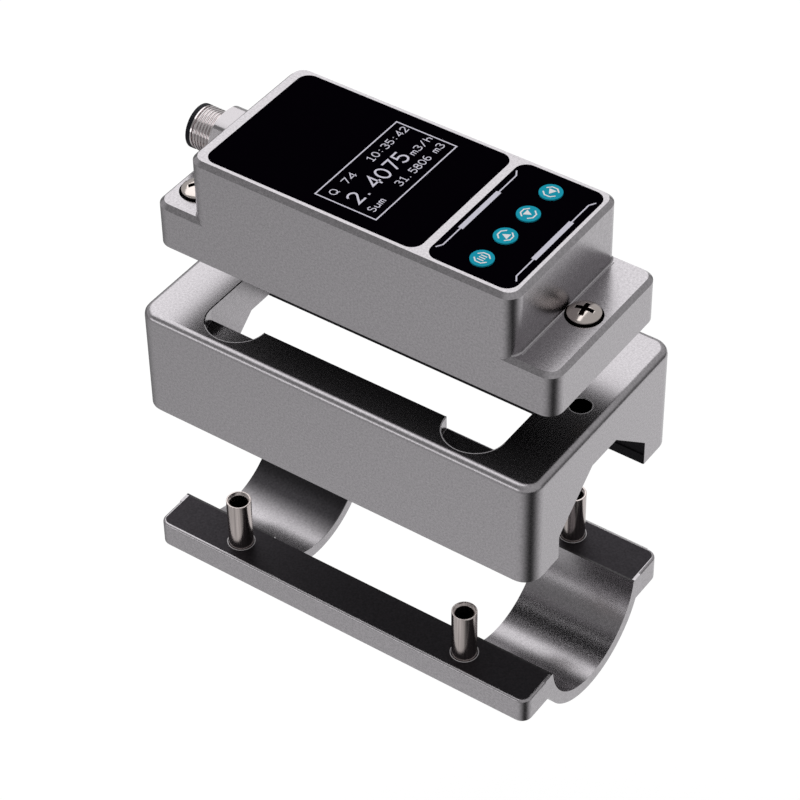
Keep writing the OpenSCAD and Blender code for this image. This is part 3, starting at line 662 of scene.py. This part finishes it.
# Places along X and radii of the shell, and its thread, in mm
SHELL_TAIL, HEX_BACK, HEX_FRONT, THREAD_END, SHELL_END = -40.1, -49.1, -54.3, -61.0, -61.5
TAIL_R, BORE_R, HEX_R, HEX_CORNER_R, LIP_R = 5.95, 5.08, 7.7, 8.35, 5.9
THREAD_ROOT_R, THREAD_CREST_R = 5.3, 6.0
THREAD_PITCH = 0.92
# Gap between hexagon and thread, run in and out of the thread, and how broad its crests are
THREAD_GAP, THREAD_RUN, THREAD_POWER = 0.3, 0.4, 2.5
# Length of the slope behind the lip at the free end in mm, and steepness of the hexagon's chamfer in degrees
LIP_SLOPE, CHAMFER_ANGLE = 0.05, 60
# Rings along the thread, points round each ring, least angle of a sharp edge in degrees
THREAD_RINGS = 56
AROUND = 96
SHELL_SHARP_ANGLE = 32
# Rings between which the hexagon lies
HEXAGON_RINGS = (2, 6)
PLUG_AXIS = sum(v.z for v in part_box("connector_shell")) / 2 / MM


def shell_ring(x, radius):
    """Points about the connector's axis; x and radius are numbers or functions of the angle."""
    points = []
    for k in range(AROUND):
        a = 2 * math.pi * k / AROUND
        at, r = (v(a) if callable(v) else v for v in (x, radius))
        points.append((at, r * math.sin(a), PLUG_AXIS + r * math.cos(a)))
    return points


def hexagon(a):
    """Radius of the hexagon at an angle, its flats up and down and its corners turned round."""
    third = math.pi / 3
    return min(HEX_R / math.cos((a + third / 2) % third - third / 2), HEX_CORNER_R)


def thread(x):
    """Radius of the helical thread round the ring at x: broad crests and narrow roots."""
    run = max(0, min(1, (HEX_FRONT - THREAD_GAP - x) / THREAD_RUN, (x - THREAD_END) / THREAD_RUN))
    depth = (THREAD_CREST_R - THREAD_ROOT_R) * run

    def radius(a):
        turn = (x / THREAD_PITCH + a / (2 * math.pi)) % 1
        return THREAD_ROOT_R + depth * (1 - abs(2 * turn - 1) ** THREAD_POWER)
    return radius


def hexagon_front(a):
    """Place along X of the hexagon's front edge at an angle, drawn back at its corners."""
    return HEX_FRONT + (hexagon(a) - HEX_R) / math.tan(math.radians(CHAMFER_ANGLE))


def draw_connector():
    """Shell of the connector from its tail in the head to its free end, as one turned body with a bore."""
    start = HEX_FRONT - THREAD_GAP
    rings = [shell_ring(SHELL_TAIL, BORE_R), shell_ring(SHELL_TAIL, TAIL_R), shell_ring(HEX_BACK, TAIL_R),
             shell_ring(HEX_BACK, hexagon), shell_ring(hexagon_front, hexagon),
             shell_ring(HEX_FRONT, HEX_R), shell_ring(HEX_FRONT, THREAD_ROOT_R)]
    for i in range(THREAD_RINGS + 1):
        x = start + (THREAD_END - start) * i / THREAD_RINGS
        rings.append(shell_ring(x, thread(x)))
    rings += [shell_ring(THREAD_END - LIP_SLOPE, LIP_R), shell_ring(SHELL_END, LIP_R),
              shell_ring(SHELL_END, BORE_R)]
    verts = [v for ring in rings for v in ring]
    faces = []
    for i in range(len(rings)):
        a, b = i * AROUND, (i + 1) % len(rings) * AROUND
        faces += [(a + k, b + k, b + (k + 1) % AROUND, a + (k + 1) % AROUND) for k in range(AROUND)]
    shell = add_mesh("connector_thread", verts, faces, "connector_metal", "head",
                     smooth=True)
    shell.data.materials.append(MATERIALS["hexagon_metal"])
    first, last = HEXAGON_RINGS
    for face in shell.data.polygons[first * AROUND:last * AROUND]:
        face.material_index = 1
    split = shell.modifiers.new("split", "EDGE_SPLIT")
    split.split_angle = math.radians(SHELL_SHARP_ANGLE)
    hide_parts("connector_shell")


draw_connector()
draw_display()
draw_key_panel()
for key, (angle, arrow) in KEY_SYMBOLS.items():
    draw_key(key, angle, arrow)


# Stage, light and camera

def seen_rays(tree):
    """1 for camera, glossy and transmission rays, and the camera's own share of it."""
    path = tree.nodes.new("ShaderNodeLightPath")
    shiny = math_node(tree, "MAXIMUM", path.outputs["Is Glossy Ray"], path.outputs["Is Transmission Ray"])
    return math_node(tree, "MAXIMUM", path.outputs["Is Camera Ray"], shiny), path.outputs["Is Camera Ray"]


def blend(tree, factor, a, b):
    """Number between a and b."""
    node = tree.nodes.new("ShaderNodeMix")
    for socket, value in zip((node.inputs["Factor"], node.inputs["A"], node.inputs["B"]), (factor, a, b)):
        if isinstance(value, (int, float)):
            socket.default_value = value
        else:
            tree.links.new(value, socket)
    return node.outputs["Result"]


def floor_glow(tree):
    """Brightness of the floor in reflections: a ramp that falls off far behind, with dark directions."""
    place = tree.nodes.new("ShaderNodeTexCoord").outputs["Object"]
    split = tree.nodes.new("ShaderNodeSeparateXYZ")
    tree.links.new(place, split.inputs[0])
    x, y = split.outputs[0], split.outputs[1]
    parts = [math_node(tree, "MULTIPLY", socket, share) for socket, share in zip((x, y), FLOOR_ALONG)]
    along = math_node(tree, "ADD", *parts)
    ramp = math_node(tree, "ADD", math_node(tree, "MULTIPLY", along, FLOOR_SLOPE), FLOOR_MIDDLE)
    ramp = math_node(tree, "MINIMUM", math_node(tree, "MAXIMUM", ramp, FLOOR_RANGE[0]), FLOOR_RANGE[1])
    fall = math_node(tree, "SUBTRACT", FLOOR_FALL[0], math_node(tree, "MULTIPLY", along, FLOOR_FALL[1]))
    look = math_node(tree, "MINIMUM", ramp, math_node(tree, "MAXIMUM", fall, FLOOR_FALL[2]))
    for corner, angle, power, depth in FLOOR_SHADES:
        off = tree.nodes.new("ShaderNodeVectorMath")
        off.operation = "SUBTRACT"
        tree.links.new(place, off.inputs[0])
        off.inputs[1].default_value = (*corner, 0)
        side = tree.nodes.new("ShaderNodeVectorMath")
        side.operation = "NORMALIZE"
        tree.links.new(off.outputs["Vector"], side.inputs[0])
        facing = tree.nodes.new("ShaderNodeVectorMath")
        facing.operation = "DOT_PRODUCT"
        tree.links.new(side.outputs["Vector"], facing.inputs[0])
        turn = math.radians(angle)
        facing.inputs[1].default_value = (math.cos(turn), math.sin(turn), 0)
        lobe = math_node(tree, "POWER", math_node(tree, "MAXIMUM", facing.outputs["Value"], 0.0), power)
        pool = math_node(tree, "SUBTRACT", 1.0, math_node(tree, "MULTIPLY", lobe, depth))
        look = math_node(tree, "MULTIPLY", look, pool)
    return look


def add_floor(height, size):
    """Pale floor: the camera sees it white with the object's shadow, and metal shows it too."""
    mesh = bpy.data.meshes.new("floor")
    half = size / 2
    corners = [(-half, -half, 0), (half, -half, 0), (half, half, 0), (-half, half, 0)]
    mesh.from_pydata(corners, [], [(0, 1, 2, 3)])
    floor = bpy.data.objects.new("floor", mesh)
    floor.location = (0, 0, height)
    bpy.context.scene.collection.objects.link(floor)
    m = bpy.data.materials.new("floor_pale")
    m.use_nodes = True
    tree = m.node_tree
    tree.nodes.clear()
    out = tree.nodes.new("ShaderNodeOutputMaterial")
    both = tree.nodes.new("ShaderNodeAddShader")
    diffuse = tree.nodes.new("ShaderNodeBsdfDiffuse")
    diffuse.inputs["Color"].default_value = (*FLOOR_COLOUR, 1)
    glow = tree.nodes.new("ShaderNodeEmission")
    seen, camera = seen_rays(tree)
    look = blend(tree, camera, floor_glow(tree), 1.0)
    lift = math_node(tree, "SUBTRACT", look, FLOOR_LIT)
    tree.links.new(math_node(tree, "MULTIPLY", seen, lift), glow.inputs["Strength"])
    tree.links.new(diffuse.outputs[0], both.inputs[0])
    tree.links.new(glow.outputs[0], both.inputs[1])
    tree.links.new(both.outputs[0], out.inputs["Surface"])
    floor.data.materials.append(m)


def add_light(name, direction, distance, width, height, radiance):
    """Area light facing the object, its width along world X; its power follows from its radiance."""
    light = bpy.data.lights.new(name, "AREA")
    light.shape = "RECTANGLE"
    light.size, light.size_y = width, height
    light.energy = radiance * math.pi * width * height
    obj = bpy.data.objects.new(name, light)
    bpy.context.scene.collection.objects.link(obj)
    back = Vector(direction).normalized()
    across = (Vector((1, 0, 0)) - back * back.x).normalized()
    turn = Matrix((across, back.cross(across), back)).transposed().to_4x4()
    obj.matrix_world = Matrix.Translation(LIT_POINT + back * distance) @ turn


def add_world():
    """White to the camera; reflections and light see a pale room with a few broad darker sides."""
    world = bpy.data.worlds.new("studio")
    bpy.context.scene.world = world
    world.use_nodes = True
    tree = world.node_tree
    tree.nodes.clear()
    out = tree.nodes.new("ShaderNodeOutputWorld")
    back = tree.nodes.new("ShaderNodeBackground")
    direction = tree.nodes.new("ShaderNodeTexCoord").outputs["Generated"]
    room = WORLD_GREY
    for side, power, gain in WORLD_SIDES:
        dot = tree.nodes.new("ShaderNodeVectorMath")
        dot.operation = "DOT_PRODUCT"
        tree.links.new(direction, dot.inputs[0])
        dot.inputs[1].default_value = Vector(side).normalized()
        lobe = math_node(tree, "POWER", math_node(tree, "MAXIMUM", dot.outputs["Value"], 0.0), power)
        room = math_node(tree, "ADD", math_node(tree, "MULTIPLY", lobe, gain), room)
    seen, camera = seen_rays(tree)
    look = blend(tree, seen, WORLD_PLAIN, blend(tree, camera, room, 1.0))
    tree.links.new(look, back.inputs["Strength"])
    back.inputs["Color"].default_value = (1, 1, 1, 1)
    tree.links.new(back.outputs[0], out.inputs["Surface"])


def add_camera():
    """Camera at the photograph's angle, turned by its small roll."""
    az, el, roll = (math.radians(a) for a in (CAMERA_AZIMUTH, CAMERA_ELEVATION, CAMERA_ROLL))
    back = Vector((math.sin(az) * math.cos(el), -math.cos(az) * math.cos(el), math.sin(el)))
    forward = -back
    right = forward.cross(Vector((0, 0, 1))).normalized()
    down = forward.cross(right)
    right, down = (math.cos(roll) * right + math.sin(roll) * down,
                   -math.sin(roll) * right + math.cos(roll) * down)
    camera = bpy.data.cameras.new("camera")
    camera.sensor_width = SENSOR
    camera.lens = CAMERA_LENS
    camera.clip_start, camera.clip_end = CAMERA_CLIP
    obj = bpy.data.objects.new("camera", camera)
    bpy.context.scene.collection.objects.link(obj)
    place = Vector(CAMERA_TARGET) * MM + back * CAMERA_DISTANCE * MM
    obj.matrix_world = Matrix.Translation(place) @ Matrix((right, -down, back)).transposed().to_4x4()
    bpy.context.scene.camera = obj


# Floor: its height and size in metres, its colour, and the brightness that the lamps give that colour
FLOOR_HEIGHT, FLOOR_SIZE = -0.16, 8.0
FLOOR_COLOUR = (0.25, 0.25, 0.25)
FLOOR_LIT = 0.165
# Its brightness in reflections: direction of the ramp, level below the object, slope for each metre, range
FLOOR_ALONG = (0.57, 0.82)
FLOOR_MIDDLE = 0.745
FLOOR_SLOPE = 0.49
FLOOR_RANGE = (0.42, 1.05)
# Level at the object, slope and least level of the far fall
FLOOR_FALL = (2.05, 1.9, 0.15)
# Dark directions: place they spread from, angle, power and depth
FLOOR_SHADES = (
    ((0.057, -0.030), -27, 3, 0.955),
    ((-0.030, 0.0), 160, 3, 0.70),
)
# Room in reflections, plain level that lights the object, and darker sides: direction, power and gain
WORLD_GREY = 0.55
WORLD_PLAIN = 0.45
WORLD_SIDES = (
    ((-0.43, -0.70, 0.60), 8, -0.30),
    ((0.80, 0.62, 0.03), 30, -0.40),
)
# Lamps: direction from the point that they face, distance, width, height and radiance
LIT_POINT = Vector((0, 0, 0.07))
LAMPS = {
    "back_box": ((-0.48, 0.28, 0.83), 1.3, 1.2, 1.9, 1.18),
    "front_strip": ((-0.43, -0.9, 0.1), 1.3, 0.9, 0.35, 1.35),
}
add_floor(FLOOR_HEIGHT, FLOOR_SIZE)
add_world()
for lamp, values in LAMPS.items():
    add_light(lamp, *values)
add_camera()
bpy.context.scene.view_settings.view_transform = "Standard"
